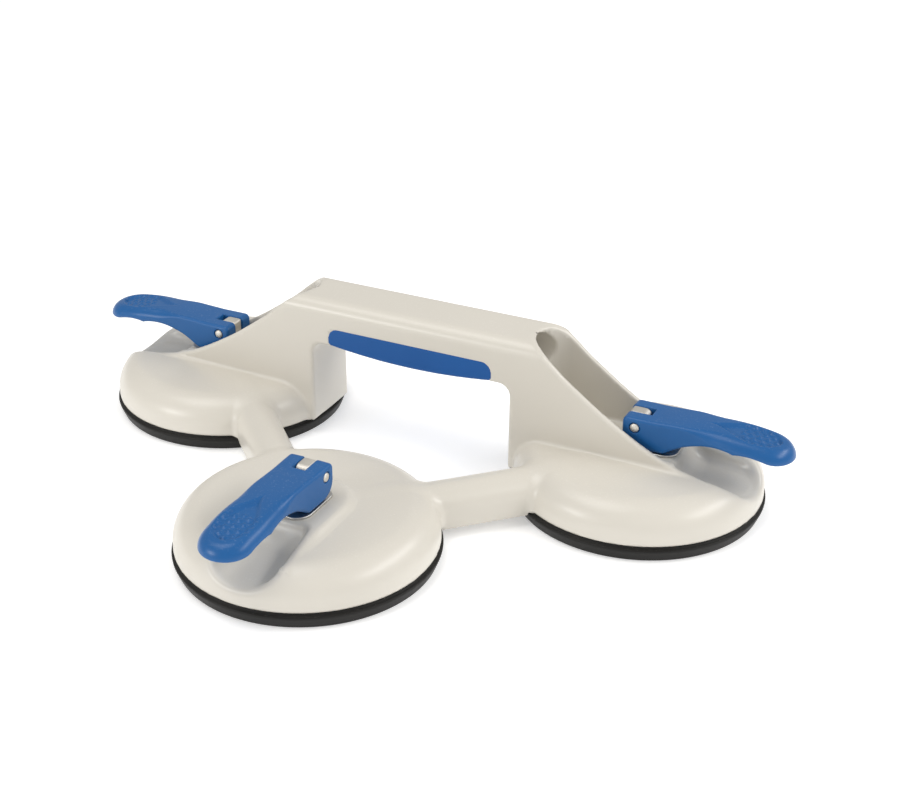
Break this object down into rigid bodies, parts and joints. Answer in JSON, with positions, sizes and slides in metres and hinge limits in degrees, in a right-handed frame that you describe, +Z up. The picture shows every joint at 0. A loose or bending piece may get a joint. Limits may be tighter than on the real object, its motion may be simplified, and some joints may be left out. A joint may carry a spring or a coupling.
{
  "type": "glass suction cup lifter",
  "caption": "Triangular glass lifter with rubber suction cups under round bells, a raised hollow handle bar and a forked vacuum lever on each cup.",
  "frame": {"origin": "middle of the footprint, on the glass under the rubber soles", "axes": "+Z up from the glass, +X along the handle towards the right cup, +Y from the front cup towards the handle"},
  "size_m": [0.3872, 0.2548, 0.0763],
  "materials": {
    "housing": "satin off-white paint",
    "lever_blue": "moulded gloss",
    "grip_blue": "soft matte",
    "rubber": "moulded",
    "stud_steel": "zinc plated",
    "plate_steel": "bright"
  },
  "bodies": {
    "frame": {"main_frame": "housing", "grip_insert": "grip_blue", "suction_disc_left": "rubber", "suction_disc_right": "rubber", "suction_disc_front": "rubber", "wear_plate_left": "plate_steel", "wear_plate_right": "plate_steel", "wear_plate_front": "plate_steel"},
    "stud_left": {"draw_stud_left": "stud_steel", "pressure_plate_left": "plate_steel"},
    "lever_left": {"lever_left": "lever_blue", "lever_pin_left": "stud_steel"},
    "stud_right": {"draw_stud_right": "stud_steel", "pressure_plate_right": "plate_steel"},
    "lever_right": {"lever_right": "lever_blue", "lever_pin_right": "stud_steel"},
    "stud_front": {"draw_stud_front": "stud_steel", "pressure_plate_front": "plate_steel"},
    "lever_front": {"lever_front": "lever_blue", "lever_pin_front": "stud_steel"}
  },
  "joints": [
    {"name": "stud_slide_left", "type": "slide", "parent": "frame", "child": "stud_left", "axis": [0, 0, 1], "range_m": [-0.00455, 0], "deforming": ["suction_disc_left"]},
    {"name": "lever_hinge_left", "type": "hinge", "parent": "stud_left", "child": "lever_left", "pos_m": [-0.1172, 0.0655, 0.042], "axis": [0, 1, 0], "range_deg": [0, 90]},
    {"name": "stud_slide_right", "type": "slide", "parent": "frame", "child": "stud_right", "axis": [0, 0, 1], "range_m": [-0.00455, 0], "deforming": ["suction_disc_right"]},
    {"name": "lever_hinge_right", "type": "hinge", "parent": "stud_right", "child": "lever_right", "pos_m": [0.1172, 0.0655, 0.042], "axis": [0, -1, 0], "range_deg": [0, 90]},
    {"name": "stud_slide_front", "type": "slide", "parent": "frame", "child": "stud_front", "axis": [0, 0, 1], "range_m": [-0.00455, 0], "deforming": ["suction_disc_front"]},
    {"name": "lever_hinge_front", "type": "hinge", "parent": "stud_front", "child": "lever_front", "pos_m": [0, -0.051, 0.042], "axis": [-1, 0, 0], "range_deg": [0, 90]}
  ],
  "couplings": [
    {"joint": "stud_slide_left", "follows": "lever_hinge_left", "m_per_rad": -0.0028648},
    {"joint": "stud_slide_right", "follows": "lever_hinge_right", "m_per_rad": -0.0028648},
    {"joint": "stud_slide_front", "follows": "lever_hinge_front", "m_per_rad": -0.0028648}
  ]
}
